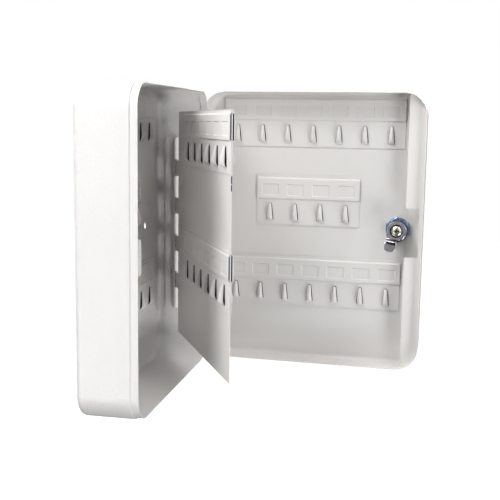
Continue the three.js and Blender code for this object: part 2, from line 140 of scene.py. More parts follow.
def turn_about(pin, angle):
    """Turns closed-position millimetres about a vertical pin."""
    there = Matrix.Translation((pin[0], pin[1], 0))
    return there @ Matrix.Rotation(angle, 4, "Z") @ there.inverted()


def pin_of(joint):
    """A joint's axis as [x, y] in millimetres."""
    position = JOINTS[joint]["pos_m"]
    return position[0] / MM, position[1] / MM


TO_METRES = Matrix.Scale(MM, 4)
STILL = TO_METRES
DOOR = TO_METRES @ turn_about(pin_of("door_hinge"), DOOR_OPEN)
LEAF = TO_METRES @ turn_about(pin_of("leaf_hinge"), LEAF_OPEN)
LOCK_AXIS = Matrix.Translation((LOCK[0], 0, LOCK[1]))
LOCK_FIXED = DOOR @ LOCK_AXIS
LOCK_TURNING = LOCK_FIXED @ Matrix.Rotation(-CAM_LEAN, 4, "Y")


# ------------------------------------------------------------------ mesh helpers

def finish_piece(bm, name, node, body, materials, place, bevel=0, sharp=35):
    """Turns a bmesh in closed-position millimetres into a riding, replacing piece. Faces pick their material
    by their index in materials."""
    bmesh.ops.remove_doubles(bm, verts=bm.verts, dist=1e-4)
    bmesh.ops.recalc_face_normals(bm, faces=bm.faces)
    bm.transform(place)
    mesh = bpy.data.meshes.new(name)
    bm.to_mesh(mesh)
    bm.free()
    mesh.shade_smooth()
    mesh.set_sharp_from_angle(angle=math.radians(sharp))
    for material in materials:
        mesh.materials.append(material)
    piece = bpy.data.objects.new(name, mesh)
    bpy.context.scene.collection.objects.link(piece)
    if bevel:
        rounding = piece.modifiers.new("edges", "BEVEL")
        rounding.width = bevel * MM
        rounding.segments = 2
        rounding.limit_method = "ANGLE"
        rounding.angle_limit = math.radians(40)
        rounding.harden_normals = True
    weighting = piece.modifiers.new("normals", "WEIGHTED_NORMAL")
    weighting.keep_sharp = True
    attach(piece, body)
    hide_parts(node)


def add_ring(bm, points):
    """New vertices at these points."""
    return [bm.verts.new(point) for point in points]


def bridge(bm, ring_a, ring_b, closed=True):
    """Quads between two rows with as many vertices as each other."""
    count = len(ring_a)
    for i in range(count if closed else count - 1):
        j = (i + 1) % count
        bm.faces.new((ring_a[i], ring_a[j], ring_b[j], ring_b[i]))


def arc(centre, radius, start, end, steps):
    """Points on an arc, angles in degrees."""
    points = []
    for i in range(steps + 1):
        angle = math.radians(start + (end - start) * i / steps)
        points.append((centre[0] + radius * math.cos(angle), centre[1] + radius * math.sin(angle)))
    return points


def rounded_rectangle(half_width, half_height, radius, steps=12):
    x = half_width - radius
    z = half_height - radius
    points = []
    for sx, sz, start in ((1, 1, 0), (-1, 1, 90), (-1, -1, 180), (1, -1, 270)):
        points += arc((sx * x, sz * z), radius, start, start + 90, steps)
    return points


def fill(bm, outline, holes, flat_points):
    """Fills a flat outline round its holes. flat_points gives each vertex's [x, z]."""
    loops = [outline] + holes
    polygons = [[Vector((*flat_points[v], 0)) for v in loop] for loop in loops]
    flat = [v for loop in loops for v in loop]
    for triangle in tessellate_polygon(polygons):
        bm.faces.new([flat[i] for i in triangle])


def plate(outline, holes, thickness, lift=0):
    """A flat plate in the X-Z plane from y = lift to y = lift + thickness."""
    bm = bmesh.new()
    layers = []
    for y in (lift, lift + thickness):
        where = {}
        loops = []
        for loop in [outline] + holes:
            ring = add_ring(bm, [(x, y, z) for x, z in loop])
            where.update(zip(ring, loop))
            loops.append(ring)
        fill(bm, loops[0], loops[1:], where)
        layers.append(loops)
    for front, back in zip(*layers):
        bridge(bm, front, back)
    return bm


def circle(centre, radius, sides=32):
    return arc(centre, radius, 0, 360 - 360 / sides, sides - 1)


def tray(profile, holes):
    """A pressed shell: a profile of [inset, y] swept round the cabinet's outline, closed at both ends by flat
    panels that share the same holes."""
    bm = bmesh.new()
    rings = []
    for inset, y in profile:
        outline = rounded_rectangle(WIDTH / 2 - inset, HEIGHT / 2 - inset, CORNER - inset)
        rings.append((add_ring(bm, [(x, y, z) for x, z in outline]), outline))
    for (ring_a, _), (ring_b, _) in zip(rings, rings[1:]):
        bridge(bm, ring_a, ring_b)
    hole_layers = []
    for (ring, outline), y in ((rings[0], profile[0][1]), (rings[-1], profile[-1][1])):
        where = dict(zip(ring, outline))
        loops = []
        for hole in holes:
            hole_ring = add_ring(bm, [(x, y, z) for x, z in hole])
            where.update(zip(hole_ring, hole))
            loops.append(hole_ring)
        fill(bm, ring, loops, where)
        hole_layers.append(loops)
    for front, back in zip(*hole_layers):
        bridge(bm, front, back)
    return bm


def lathe(profile, sides=48, shape=None):
    """Turns a closed [radius, y] profile about Y. shape(angle, radius) can change the radius."""
    bm = bmesh.new()
    rings = []
    for radius, y in profile:
        ring = []
        for i in range(sides):
            angle = 2 * math.pi * i / sides
            r = shape(angle, radius) if shape else radius
            ring.append((r * math.cos(angle), y, r * math.sin(angle)))
        rings.append(add_ring(bm, ring))
    for ring_a, ring_b in zip(rings, rings[1:] + rings[:1]):
        bridge(bm, ring_a, ring_b)
    return bm


def extrude_up(outline, z0, z1):
    """A prism standing on an X-Y outline."""
    bm = bmesh.new()
    low = add_ring(bm, [(x, y, z0) for x, y in outline])
    high = add_ring(bm, [(x, y, z1) for x, y in outline])
    bridge(bm, low, high)
    bm.faces.new(low)
    bm.faces.new(high)
    return bm


def block(x0, x1, y0, y1, z0, z1):
    return extrude_up([(x0, y0), (x1, y0), (x1, y1), (x0, y1)], z0, z1)


def join(parts):
    """One bmesh from several, which are used up."""
    whole = bmesh.new()
    for part in parts:
        mesh = bpy.data.meshes.new("part")
        part.to_mesh(mesh)
        part.free()
        whole.from_mesh(mesh)
        bpy.data.meshes.remove(mesh)
    return whole


# ------------------------------------------------------------------ materials

def node_material(name):
    """A material's tree, its surface shader and its object coordinates."""
    material = bpy.data.materials.new(name)
    material.use_nodes = True
    tree = material.node_tree
    tree.nodes.clear()
    output = tree.nodes.new("ShaderNodeOutputMaterial")
    shader = tree.nodes.new("ShaderNodeBsdfPrincipled")
    tree.links.new(shader.outputs["BSDF"], output.inputs["Surface"])
    coordinates = tree.nodes.new("ShaderNodeTexCoord")
    return material, tree, shader, coordinates.outputs["Object"]


def noise(tree, vector, scale, detail=2, roughness=0.5):
    """Noise with about this many features to the metre."""
    texture = tree.nodes.new("ShaderNodeTexNoise")
    texture.inputs["Scale"].default_value = scale
    texture.inputs["Detail"].default_value = detail
    texture.inputs["Roughness"].default_value = roughness
    tree.links.new(vector, texture.inputs["Vector"])
    return texture.outputs["Fac"]


def ramp(tree, factor, stops):
    node = tree.nodes.new("ShaderNodeValToRGB")
    elements = node.color_ramp.elements
    while len(elements) < len(stops):
        elements.new(0.5)
    for element, (position, colour) in zip(elements, stops):
        element.position = position
        element.color = (*colour, 1)
    tree.links.new(factor, node.inputs["Fac"])
    return node.outputs["Color"]


def bump(tree, height, strength, distance, normal=None):
    node = tree.nodes.new("ShaderNodeBump")
    node.inputs["Strength"].default_value = strength
    node.inputs["Distance"].default_value = distance
    tree.links.new(height, node.inputs["Height"])
    if normal:
        tree.links.new(normal, node.inputs["Normal"])
    return node.outputs["Normal"]


def map_range(tree, value, low, high):
    node = tree.nodes.new("ShaderNodeMapRange")
    node.inputs["To Min"].default_value = low
    node.inputs["To Max"].default_value = high
    tree.links.new(value, node.inputs["Value"])
    return node.outputs["Result"]


def paint(name, light, dark, peel, roughness):
    """Semi-gloss powder coat: warm off-white with faint patches, orange peel and a fine grain."""
    material, tree, shader, where = node_material(name)
    patches = noise(tree, where, 14, 4, 0.6)
    colour = ramp(tree, patches, [(0.3, dark), (0.7, light)])
    tree.links.new(colour, shader.inputs["Base Color"])
    gloss = map_range(tree, noise(tree, where, 60, 3), roughness - 0.05, roughness + 0.07)
    tree.links.new(gloss, shader.inputs["Roughness"])
    waves = bump(tree, noise(tree, where, 420, 2, 0.4), peel, 0.0004)
    grain = bump(tree, noise(tree, where, 1900, 2, 0.5), peel * 0.35, 0.0001, waves)
    tree.links.new(grain, shader.inputs["Normal"])
    shader.inputs["IOR"].default_value = 1.5
    return material


def painted_shade_steel():
    """Painted shade: a dull, nearly black blue that stands for the shade in slots, in the hollows behind the
    rails and under the hooks, with uneven patches.
    """
    material, tree, shader, where = node_material("painted_shade_steel")
    patches = noise(tree, where, 90, 4, 0.6)
    colour = ramp(tree, patches, [(0.3, (0.012, 0.014, 0.065)), (0.7, (0.03, 0.036, 0.13))])
    tree.links.new(colour, shader.inputs["Base Color"])
    gloss = map_range(tree, noise(tree, where, 300, 3), 0.45, 0.6)
    tree.links.new(gloss, shader.inputs["Roughness"])
    tree.links.new(bump(tree, noise(tree, where, 900, 2), 0.1, 0.0001), shader.inputs["Normal"])
    return material


def plated(name, light, dark, roughness, brushed=0.15):
    """Plated steel with cloudy colour, uneven gloss and fine scratches."""
    material, tree, shader, where = node_material(name)
    shader.inputs["Metallic"].default_value = 1
    colour = ramp(tree, noise(tree, where, 160, 4, 0.6), [(0.3, dark), (0.7, light)])
    tree.links.new(colour, shader.inputs["Base Color"])
    gloss = map_range(tree, noise(tree, where, 500, 3, 0.6), roughness * 0.7, roughness * 1.4)
    tree.links.new(gloss, shader.inputs["Roughness"])
    stretched = tree.nodes.new("ShaderNodeMapping")
    stretched.inputs["Scale"].default_value = (1, 1, 12)
    tree.links.new(where, stretched.inputs["Vector"])
    scratches = noise(tree, stretched.outputs["Vector"], 700, 3, 0.6)
    tree.links.new(bump(tree, scratches, brushed, 0.0001), shader.inputs["Normal"])
    return material


# Places in a piece's list of materials: the coat and the painted shade on painted pieces, and the painted
# shade in the screw's recess
COATED = 0
PAINTED_SHADE_FACE = 1
PAINTED_RECESS_SHADE = 1

PAINT_OUTSIDE = paint("paint_outside", (0.80, 0.785, 0.772), (0.775, 0.76, 0.748), 0.8, 0.34)
PAINT_INSIDE = paint("paint_inside", (0.79, 0.772, 0.75), (0.77, 0.752, 0.73), 0.2, 0.4)
# Dark material of painted shade, for slots, hollows behind the rails and the undersides of hooks
PAINTED_SHADE_STEEL = painted_shade_steel()
ZINC = plated("blue_zinc", (0.44, 0.58, 0.74), (0.12, 0.22, 0.36), 0.15)
CAM_STEEL = plated("cam_steel", (0.78, 0.75, 0.82), (0.56, 0.54, 0.60), 0.14)
# Near-black metal of painted shade, for the screw's recess and the ring round its head
PAINTED_SHADE_METAL = plated("painted_shade_metal", (0.14, 0.12, 0.13), (0.06, 0.05, 0.07), 0.25)
NICKEL = plated("satin_nickel", (0.66, 0.64, 0.60), (0.55, 0.53, 0.50), 0.28)
YELLOW_ZINC = plated("yellow_zinc", (0.78, 0.78, 0.62), (0.5, 0.52, 0.42), 0.26)
PIN_STEEL = plated("pin_steel", (0.62, 0.63, 0.65), (0.5, 0.51, 0.53), 0.25)


# ------------------------------------------------------------------ shells

def case_shell():
    """Deep tray with two wall-fixing holes, and a stepped-in lip for the door to close over."""
    fillet = CASE_FILLET
    inner = fillet - SHEET
    step = -CASE_DEPTH
    tip = step - LIP
    lip_inner = LIP_INSET + SHEET
    outside = [(fillet - x, -fillet + y) for x, y in arc((0, 0), fillet, 90, 0, 8)]
    inside = [(SHEET + inner - x, -SHEET - inner + y) for x, y in arc((0, 0), inner, 0, 90, 8)]
    profile = [(fillet + 0.5, 0)] + outside + [
        (0, step + 0.9), (0.12, step + 0.45), (0.45, step + 0.12), (LIP_INSET - 0.3, step),
        (LIP_INSET - 0.08, step - 0.1), (LIP_INSET, step - 0.4),
        (LIP_INSET, tip + 0.25), (LIP_INSET + 0.2, tip), (lip_inner - 0.2, tip), (lip_inner, tip + 0.25),
        (lip_inner, step + 0.4), (lip_inner - 0.15, step + 0.7), (SHEET + 0.25, step + 1),
        (SHEET, step + 1.4),
    ] + inside + [(SHEET + inner + 0.5, -SHEET)]
    holes = [circle((side * WALL_HOLE["x"], WALL_HOLE["z"]), WALL_HOLE["radius"]) for side in (-1, 1)]
    finish_piece(tray(profile, holes), "case_shell_pressing", "case_shell", "case",
                 [PAINT_OUTSIDE], STILL)


def door_shell():
    """Shallow tray with a hole for the lock."""
    fillet = DOOR_FILLET
    inner = fillet - SHEET
    panel = FACE + SHEET
    outside = [(fillet - x, FACE + fillet - y) for x, y in arc((0, 0), fillet, 90, 0, 8)]
    inside = [(SHEET + inner - x, panel + inner - y) for x, y in arc((0, 0), inner, 0, 90, 8)]
    profile = [(fillet + 0.5, FACE)] + outside + [
        (0, RIM - 0.25), (0.2, RIM), (SHEET - 0.2, RIM), (SHEET, RIM - 0.25),
    ] + inside + [(SHEET + inner + 0.5, panel)]
    holes = [circle(LOCK, LOCK_HOLE, 48)]
    finish_piece(tray(profile, holes), "door_shell_pressing", "door_shell", "door",
                 [PAINT_INSIDE], DOOR)


# ------------------------------------------------------------------ hook rails

def rail_width(hooks):
    return (hooks - 1) * HOOK_PITCH + 2 * RAIL_MARGIN


def smooth_step(value):
    value = min(max(value, 0), 1)
    return value * value * (3 - 2 * value)


def band_height(z):
    up = smooth_step((z - BAND["bottom"] + BAND["slope"]) / BAND["slope"])
    down = smooth_step((BAND["top"] + BAND["slope"] - z) / BAND["slope"])
    return BAND["rise"] * min(up, down)


def window_depth(x, z):
    """How far a debossed window is pressed in, x counted from its middle."""
    centre = WINDOW["bottom"] + WINDOW["height"] / 2
    corner = WINDOW["corner"]
    dx = max(abs(x) - WINDOW["width"] / 2 + corner, 0)
    dz = max(abs(z - centre) - WINDOW["height"] / 2 + corner, 0)
    outside = math.hypot(dx, dz) - corner
    return WINDOW["depth"] * smooth_step(-outside / WINDOW["slope"])


SLOT_BOTTOM = HOOK_BOTTOM + 1.2
SLOT_TOP = HOOK_TOP + 0.6
SLOT_BASE_HALF = HOOK_BASE_HALF + 0.6
SLOT_TIP_HALF = HOOK_TIP_HALF + 0.6


def slot_half_width(z):
    """Half width of the tapered, round-topped slot; above and below it the grid lines spread out again."""
    centre = SLOT_TOP - SLOT_TIP_HALF
    if z <= SLOT_BOTTOM:
        return SLOT_BASE_HALF
    if z <= centre:
        share = (z - SLOT_BOTTOM) / (centre - SLOT_BOTTOM)
        return SLOT_BASE_HALF + (SLOT_TIP_HALF - SLOT_BASE_HALF) * share
    if z <= SLOT_TOP:
        return math.sqrt(max(SLOT_TIP_HALF ** 2 - (z - centre) ** 2, 0.05 ** 2))
    return min(0.05 + (z - SLOT_TOP) * 1.2, SLOT_BASE_HALF)


def rail_rows():
    """Heights of the grid's rows, close together where the sheet bends or the slot's outline curves."""
    centre = SLOT_TOP - SLOT_TIP_HALF
    rows = [0, 0.3, 3, SLOT_BOTTOM, 12, centre]
    rows += [centre + SLOT_TIP_HALF * math.sin(math.radians(a)) for a in (20, 40, 60, 75, 90)]
    rows += [SLOT_TOP + 2, BAND["bottom"] - BAND["slope"] - 0.4]
    steps = 6
    rows += [BAND["bottom"] - BAND["slope"] * (1 - i / steps) for i in range(steps + 1)]
    for edge, inward in ((WINDOW["bottom"], 1), (WINDOW["bottom"] + WINDOW["height"], -1)):
        rows += [edge + inward * offset for offset in WINDOW_GRID]
    rows += [BAND["top"] - 0.5]
    rows += [BAND["top"] + BAND["slope"] * i / steps for i in range(steps + 1)]
    rows += [RAIL_HEIGHT - 0.3, RAIL_HEIGHT]
    return sorted(set(round(row, 3) for row in rows))


def rail_columns(hooks):
    """Each column is (hook centre, share of the slot's half width or None, fixed offset)."""
    half = (hooks - 1) * HOOK_PITCH / 2 + RAIL_MARGIN
    columns = [(0, None, -half), (0, None, -half + 0.3)]
    window_edge = WINDOW["width"] / 2
    offsets = [window_edge - inward for inward in WINDOW_GRID]
    for i in range(hooks):
        centre = (i - (hooks - 1) / 2) * HOOK_PITCH
        columns += [(centre, None, -offset) for offset in offsets]
        columns += [(centre, share, 0) for share in (-1, -0.5, 0, 0.5, 1)]
        columns += [(centre, None, offset) for offset in reversed(offsets)]
    columns += [(0, None, half - 0.3), (0, None, half)]
    return columns


def rail_sheet(hooks):
    """The pressed sheet with its slots, as a grid of cells with a back face and edges."""
    bm = bmesh.new()
    rows = rail_rows()
    columns = rail_columns(hooks)
    centres = [(i - (hooks - 1) / 2) * HOOK_PITCH for i in range(hooks)]
    front = []
    back = []
    for z in rows:
        front_row = []
        back_row = []
        for centre, share, offset in columns:
            x = centre + (offset if share is None else share * slot_half_width(z))
            nearest = min(centres, key=lambda c: abs(x - c))
            out = RAIL_BACK + RAIL_SHEET + band_height(z) - window_depth(x - nearest, z)
            front_row.append(bm.verts.new((x, -out, z)))
            back_row.append(bm.verts.new((x, -out + RAIL_SHEET, z)))
        front.append(front_row)
        back.append(back_row)
    open_cells = {
        (r, c) for r in range(len(rows) - 1) for c in range(len(columns) - 1)
        if columns[c][1] is not None and columns[c + 1][1] is not None
        and SLOT_BOTTOM - 0.01 <= rows[r] and rows[r + 1] <= SLOT_TOP + 0.01}
    for r in range(len(rows) - 1):
        for c in range(len(columns) - 1):
            if (r, c) in open_cells:
                continue
            bm.faces.new((front[r][c], front[r][c + 1], front[r + 1][c + 1], front[r + 1][c]))
            # The sheet's back and its cut edges round a slot take the painted shade; its outer edges keep the
            # coat
            rear = bm.faces.new((back[r][c], back[r + 1][c], back[r + 1][c + 1], back[r][c + 1]))
            rear.material_index = PAINTED_SHADE_FACE
            sides = (((r - 1, c), (r, c), (r, c + 1)), ((r + 1, c), (r + 1, c), (r + 1, c + 1)),
                     ((r, c - 1), (r, c), (r + 1, c)), ((r, c + 1), (r, c + 1), (r + 1, c + 1)))
            for neighbour, a, b in sides:
                inside = 0 <= neighbour[0] < len(rows) - 1 and 0 <= neighbour[1] < len(columns) - 1
                if not inside or neighbour in open_cells:
                    edge = bm.faces.new(
                        (front[a[0]][a[1]], front[b[0]][b[1]], back[b[0]][b[1]], back[a[0]][a[1]]))
                    edge.material_index = PAINTED_SHADE_FACE if inside else COATED
    loose = [v for v in bm.verts if not v.link_faces]
    bmesh.ops.delete(bm, geom=loose, context="VERTS")
    return bm


# A tongue's side edges as [distance out from the surface, height], and how far its middle bulges beyond them
TONGUE_EDGE = [
    (0.5, 3.1), (0.55, 4.2), (1, 5), (1.8, 5.8), (2.35, 7), (2.7, 9), (2.85, 12), (2.85, 15.5), (2.65, 19),
    (2.4, 21.8), (2.1, HOOK_TOP),
]
TONGUE_BULGE = [(4.2, 0), (5.5, 0.9), (7, 2.5), (8.5, 3.3), (10.5, 3.5), (14, 3), (18, 2.1), (21.5, 1.3),
                (HOOK_TOP, 0.8)]


def spline(points, steps):
    """A Catmull-Rom curve through the points."""
    curve = []
    padded = [points[0]] + points + [points[-1]]
    for i in range(1, len(padded) - 2):
        p0, p1, p2, p3 = padded[i - 1:i + 3]
        for k in range(steps):
            t = k / steps
            curve.append(tuple(
                0.5 * (2 * b + (c - a) * t + (2 * a - 5 * b + 4 * c - d) * t * t
                       + (3 * b - a - 3 * c + d) * t ** 3)
                for a, b, c, d in zip(p0, p1, p2, p3)))
    curve.append(points[-1])
    return curve


def tongue_half_width(z):
    centre = HOOK_TOP - HOOK_TIP_HALF
    if z <= HOOK_BOTTOM:
        return HOOK_BASE_HALF
    if z <= centre:
        share = (z - HOOK_BOTTOM) / (centre - HOOK_BOTTOM)
        return HOOK_BASE_HALF + (HOOK_TIP_HALF - HOOK_BASE_HALF) * share
    return math.sqrt(max(HOOK_TIP_HALF ** 2 - (z - centre) ** 2, 0.3 ** 2))


def tongue_bulge(z):
    for (z0, bulge0), (z1, bulge1) in zip(TONGUE_BULGE, TONGUE_BULGE[1:]):
        if z <= z1:
            return bulge0 + (bulge1 - bulge0) * smooth_step((z - z0) / (z1 - z0))
    return TONGUE_BULGE[-1][1]


def thick_sheet(grid, thickness):
    """A curved sheet round a grid of points whose rows go up and whose columns go along +X. Its rim is
    softened, and its rear takes the painted shade of the hollow under a hook."""
    rows = len(grid)
    columns = len(grid[0])
    bm = bmesh.new()
    front = []
    back = []
    for r in range(rows):
        front_row = []
        back_row = []
        for c in range(columns):
            up = grid[min(r + 1, rows - 1)][c] - grid[max(r - 1, 0)][c]
            across = grid[r][min(c + 1, columns - 1)] - grid[r][max(c - 1, 0)]
            rim = c in (0, columns - 1) or r == rows - 1
            lift = across.cross(up).normalized() * thickness * (0.3 if rim else 0.5)
            front_row.append(bm.verts.new(grid[r][c] + lift))
            back_row.append(bm.verts.new(grid[r][c] - lift))
        front.append(front_row)
        back.append(back_row)
    for r in range(rows - 1):
        bridge(bm, front[r], front[r + 1], closed=False)
        for c in range(columns - 1):
            rear = bm.faces.new((back[r][c], back[r + 1][c], back[r + 1][c + 1], back[r][c + 1]))
            rear.material_index = PAINTED_SHADE_FACE
        for c in (0, columns - 1):
            bm.faces.new((front[r][c], front[r + 1][c], back[r + 1][c], back[r][c]))
    bridge(bm, front[0], back[0], closed=False)
    bridge(bm, front[-1], back[-1], closed=False)
    return bm


def hook_tongue(x):
    """One lanced hook: a scooped tongue, free at its sides and at its narrow round tip."""
    shares = (-1, -0.93, -0.76, -0.54, -0.28, 0, 0.28, 0.54, 0.76, 0.93, 1)
    grid = []
    for out, z in spline(TONGUE_EDGE, 3):
        width = tongue_half_width(z)
        bulge = tongue_bulge(z)
        grid.append([
            Vector((x + share * width, -(out + bulge * (1 - share * share)), z)) for share in shares])
    return thick_sheet(grid, RAIL_SHEET)


def painted_shade_strips(hooks):
    """Dark strips of painted shade behind the slots and inside the label band, where those hollows lie in
    shade.
    """
    half = rail_width(hooks) / 2 - 1.5
    strips = [
        block(-half, half, -0.12, -0.02, SLOT_BOTTOM - 1.5, SLOT_TOP + 1.5),
        block(-half, half, -0.65, -0.02, BAND["bottom"] + 1, BAND["top"] - 1),
    ]
    # These strips are painted shade, not a real part
    for strip in strips:
        for face in strip.faces:
            face.material_index = PAINTED_SHADE_FACE
    return strips


def hook_rail(name, node, hooks, body, place, x, y, z, facing):
    """A rail centred on x, with its lower edge at z, on a surface at y that faces the front (-1) or the
    wall (1)."""
    tongues = [hook_tongue((i - (hooks - 1) / 2) * HOOK_PITCH) for i in range(hooks)]
    bm = join([rail_sheet(hooks)] + tongues + painted_shade_strips(hooks))
    move = Matrix.Translation((x, y, z))
    if facing > 0:
        move = move @ Matrix.Rotation(math.pi, 4, "Z")
    # The second material is the painted shade in slots, hollows and under the hooks
    finish_piece(bm, name, node, body, [PAINT_INSIDE, PAINTED_SHADE_STEEL], place @ move, sharp=50)


def case_and_door_rails():
    for where, z in RAIL_LEVELS.items():
        hooks = RAIL_HOOKS[where]
        hook_rail(f"back_rail_{where}_pressing", f"back_rail_{where}", hooks, "case", STILL,
                  0, -SHEET, z, -1)
        hook_rail(f"door_rail_{where}_pressing", f"door_rail_{where}", hooks, "door", DOOR,
                  DOOR_RAIL_SHIFT[where], FACE + SHEET, z, 1)


def leaf_rails():
    centre = LEAF_PIN[0] - LEAF_REACH + 0.5 + rail_width(LEAF_RAIL_HOOKS) / 2
    for where, z in LEAF_RAIL_LEVELS.items():
        for side, facing in (("inner", 1), ("outer", -1)):
            node = f"leaf_rail_{where}_{side}"
            hook_rail(f"{node}_pressing", node, LEAF_RAIL_HOOKS, "leaf", LEAF,
                      centre, LEAF_PIN[1] + facing * LEAF_SHEET / 2, z, facing)


# ------------------------------------------------------------------ swing leaf and its hinge

def curl(pin, radius, bore, web_x, web_end, towards):
    """A sheet rolled round a pin: it comes along x = web_x from y = web_end and stops short of itself."""
    side = 1 if web_x > pin[0] else -1
    roll = -285 * towards
    outer = arc(pin, radius, 0, roll, 28)
    inner = arc(pin, bore, roll, 0, 28)
    points = outer + inner
    if side < 0:
        points = [(2 * pin[0] - x, y) for x, y in points]
    return [(web_x, web_end)] + points + [(web_x - side * (radius - bore), web_end)]


def leaf_panel():
    """The leaf's sheet, with tabs rolled round the pin and two slits in its free edge. A slit is drawn as a
    dark patch of painted shade that wraps round the edge, and is not cut."""
    x, y = LEAF_PIN
    half = LEAF_SHEET / 2
    near = x - LEAF_START
    free = x - LEAF_REACH
    parts = [block(free, near, y - half, y + half, LEAF_BOTTOM, LEAF_TOP)]
    ring = arc((x, y), LEAF_BARREL, 180 + 11, 180 + 330, 28)
    ring += arc((x, y), LEAF_BORE, 180 + 330, 180 + 19, 28)
    web_end = x - LEAF_BORE - 0.4
    web = [(near - 0.5, y - half), (web_end, y - half), (web_end, y + half), (near - 0.5, y + half)]
    for i in range(LEAF_KNUCKLES):
        z0 = LEAF_HINGE_TOP - (i + 1) * KNUCKLE_PITCH + HINGE_CLEARANCE
        z1 = z0 + LEAF_KNUCKLE - 2 * HINGE_CLEARANCE
        parts.append(extrude_up(ring, z0, z1))
        parts.append(extrude_up(web, z0, z1))
    for z0, z1 in LEAF_SLITS:
        # Each slit is a dark patch of painted shade wrapped round the free edge
        slit = block(free - 0.04, free + LEAF_SLIT_WIDTH, y - half - 0.02, y + half + 0.02, z0, z1)
        for face in slit.faces:
            face.material_index = PAINTED_SHADE_FACE
        parts.append(slit)
    finish_piece(join(parts), "leaf_panel_sheet", "leaf_panel", "leaf",
                 [PAINT_INSIDE, PAINTED_SHADE_STEEL], LEAF, bevel=0.12)


def leaf_hinge_bracket():
    """A strip on the case's side wall, with knuckles rolled round the leaf's pin."""
    outer = LEAF_PIN[0] + LEAF_BARREL
    inner = outer - LEAF_SHEET
    parts = [block(inner, outer, BRACKET_FRONT, BRACKET_EDGE, LEAF_HINGE_BOTTOM, LEAF_HINGE_TOP)]
    outline = curl(LEAF_PIN, LEAF_BARREL, LEAF_BARREL - LEAF_SHEET, outer, BRACKET_FRONT + 0.5, 1)
    for i in range(LEAF_KNUCKLES + 1):
        z0 = LEAF_HINGE_TOP - BRACKET_KNUCKLE - i * KNUCKLE_PITCH + HINGE_CLEARANCE
        parts.append(extrude_up(outline, z0, z0 + BRACKET_KNUCKLE - 2 * HINGE_CLEARANCE))
    finish_piece(join(parts), "leaf_hinge_bracket_sheet", "leaf_hinge_bracket", "case",
                 [PAINT_INSIDE], STILL, bevel=0.15)


def pin(name, node, centre, radius, z0, z1, place):
    """A pin along Z with rounded ends."""
    soft = radius * 0.4
    profile = [(0.02, z0), (radius - soft, z0), (radius - soft * 0.3, z0 + soft * 0.3), (radius, z0 + soft),
               (radius, z1 - soft), (radius - soft * 0.3, z1 - soft * 0.3), (radius - soft, z1), (0.02, z1)]
    bm = lathe(profile, 24)
    upright = Matrix.Translation((centre[0], centre[1], 0)) @ Matrix.Rotation(math.pi / 2, 4, "X")
    finish_piece(bm, name, node, "case", [PIN_STEEL], place @ upright)


def door_hinges():
    """Two hinges, each with a lower barrel on the case, an upper barrel on the door and a pin."""
    for where, centre in HINGE_CENTRES.items():
        pin(f"{where}_hinge_pin_rod", f"{where}_hinge_pin", DOOR_PIN, DOOR_PIN_RADIUS,
            centre - BARREL_LENGTH, centre + BARREL_LENGTH, STILL)
        halves = (("case", centre - BARREL_LENGTH - HINGE_CLEARANCE / 2, 1, STILL),
                  ("door", centre + HINGE_CLEARANCE / 2, -1, DOOR))
        for body, z0, towards, place in halves:
            x = DOOR_PIN[0] - DOOR_BARREL
            end = DOOR_PIN[1] + towards * HINGE_TAB_REACH
            outline = curl(DOOR_PIN, DOOR_BARREL, DOOR_BORE, x, end, towards)
            bm = extrude_up(outline, z0, z0 + BARREL_LENGTH)
            finish_piece(bm, f"{where}_hinge_{body}_half_rolled", f"{where}_hinge_{body}_half", body,
                         [PAINT_OUTSIDE], place, bevel=0.15)


# ------------------------------------------------------------------ strip and strike plate

def door_edge_strip():
    """A plate along the door's free side, cut out beside the lock, with a flange on the door's side wall."""
    start = WIDTH / 2 - STRIP["start"]
    wall = WIDTH / 2 - SHEET - WELD_GAP
    top = HEIGHT / 2 - SHEET - WELD_GAP
    radius = CORNER - SHEET - WELD_GAP
    high = arc((-wall + radius, top - radius), radius, 180, 90, 14)
    low = arc((-wall + radius, -top + radius), radius, 270, 180, 14)
    high = [point for point in high if point[0] < start] + [(start, top - 0.35)]
    low = [(start, -top + 0.35)] + [point for point in low if point[0] < start]
    notch_x = WIDTH / 2 - NOTCH["start"]
    corner = 1.5
    notch = [(start, NOTCH["top"]), (notch_x + corner, NOTCH["top"])]
    notch += arc((notch_x + corner, NOTCH["top"] - corner), corner, 90, 180, 4)
    notch += arc((notch_x + corner, NOTCH["bottom"] + corner), corner, 180, 270, 4)
    notch += [(start, NOTCH["bottom"])]
    outline = low + high + notch
    corner_hole = circle((start - 1.6, -top + 5.6), 0.9, 16)
    thickness = STRIP["thickness"]
    front = plate(outline, [corner_hole], thickness, STRIP["plane"] - thickness)
    flange = block(-wall, -wall + thickness, STRIP["plane"] - STRIP["flange_depth"],
                   STRIP["plane"] - thickness / 2, -STRIP["flange_height"] / 2, STRIP["flange_height"] / 2)
    finish_piece(join([front, flange]), "door_edge_strip_sheet", "door_edge_strip", "door",
                 [PAINT_INSIDE], DOOR, bevel=0.15)


def strike_plate():
    """The tab on the case's lip that the lock's cam turns behind."""
    wall = -(WIDTH / 2 - LIP_INSET - SHEET - WELD_GAP)
    front = -CASE_DEPTH - LIP
    z0 = STRIKE["centre"] - STRIKE["height"] / 2
    z1 = z0 + STRIKE["height"]
    edge = wall + STRIKE["reach"]
    corner = 2.5
    outline = [(wall, z0)] + arc((edge - corner, z0 + corner), corner, 270, 360, 6)
    outline += arc((edge - corner, z1 - corner), corner, 0, 90, 6) + [(wall, z1)]
    tab = plate(outline, [], STRIKE["thickness"], front)
    flange = block(wall, wall + STRIKE["thickness"], front + 0.5, front + STRIKE["flange"], z0, z1)
    finish_piece(join([tab, flange]), "strike_plate_sheet", "strike_plate", "case",
                 [PAINT_INSIDE], STILL, bevel=0.15)


# ------------------------------------------------------------------ cam lock

NUT_FLATS = 24.6
NUT_THICKNESS = 6
THREAD_RADIUS = 9.5
THREAD_END = -62.5
PLUG_RADIUS = 5.8
HUB_BACK = THREAD_END + 0.4
CAM_SHEET = 1.7
HUB_FACE = HUB_BACK + CAM_SHEET


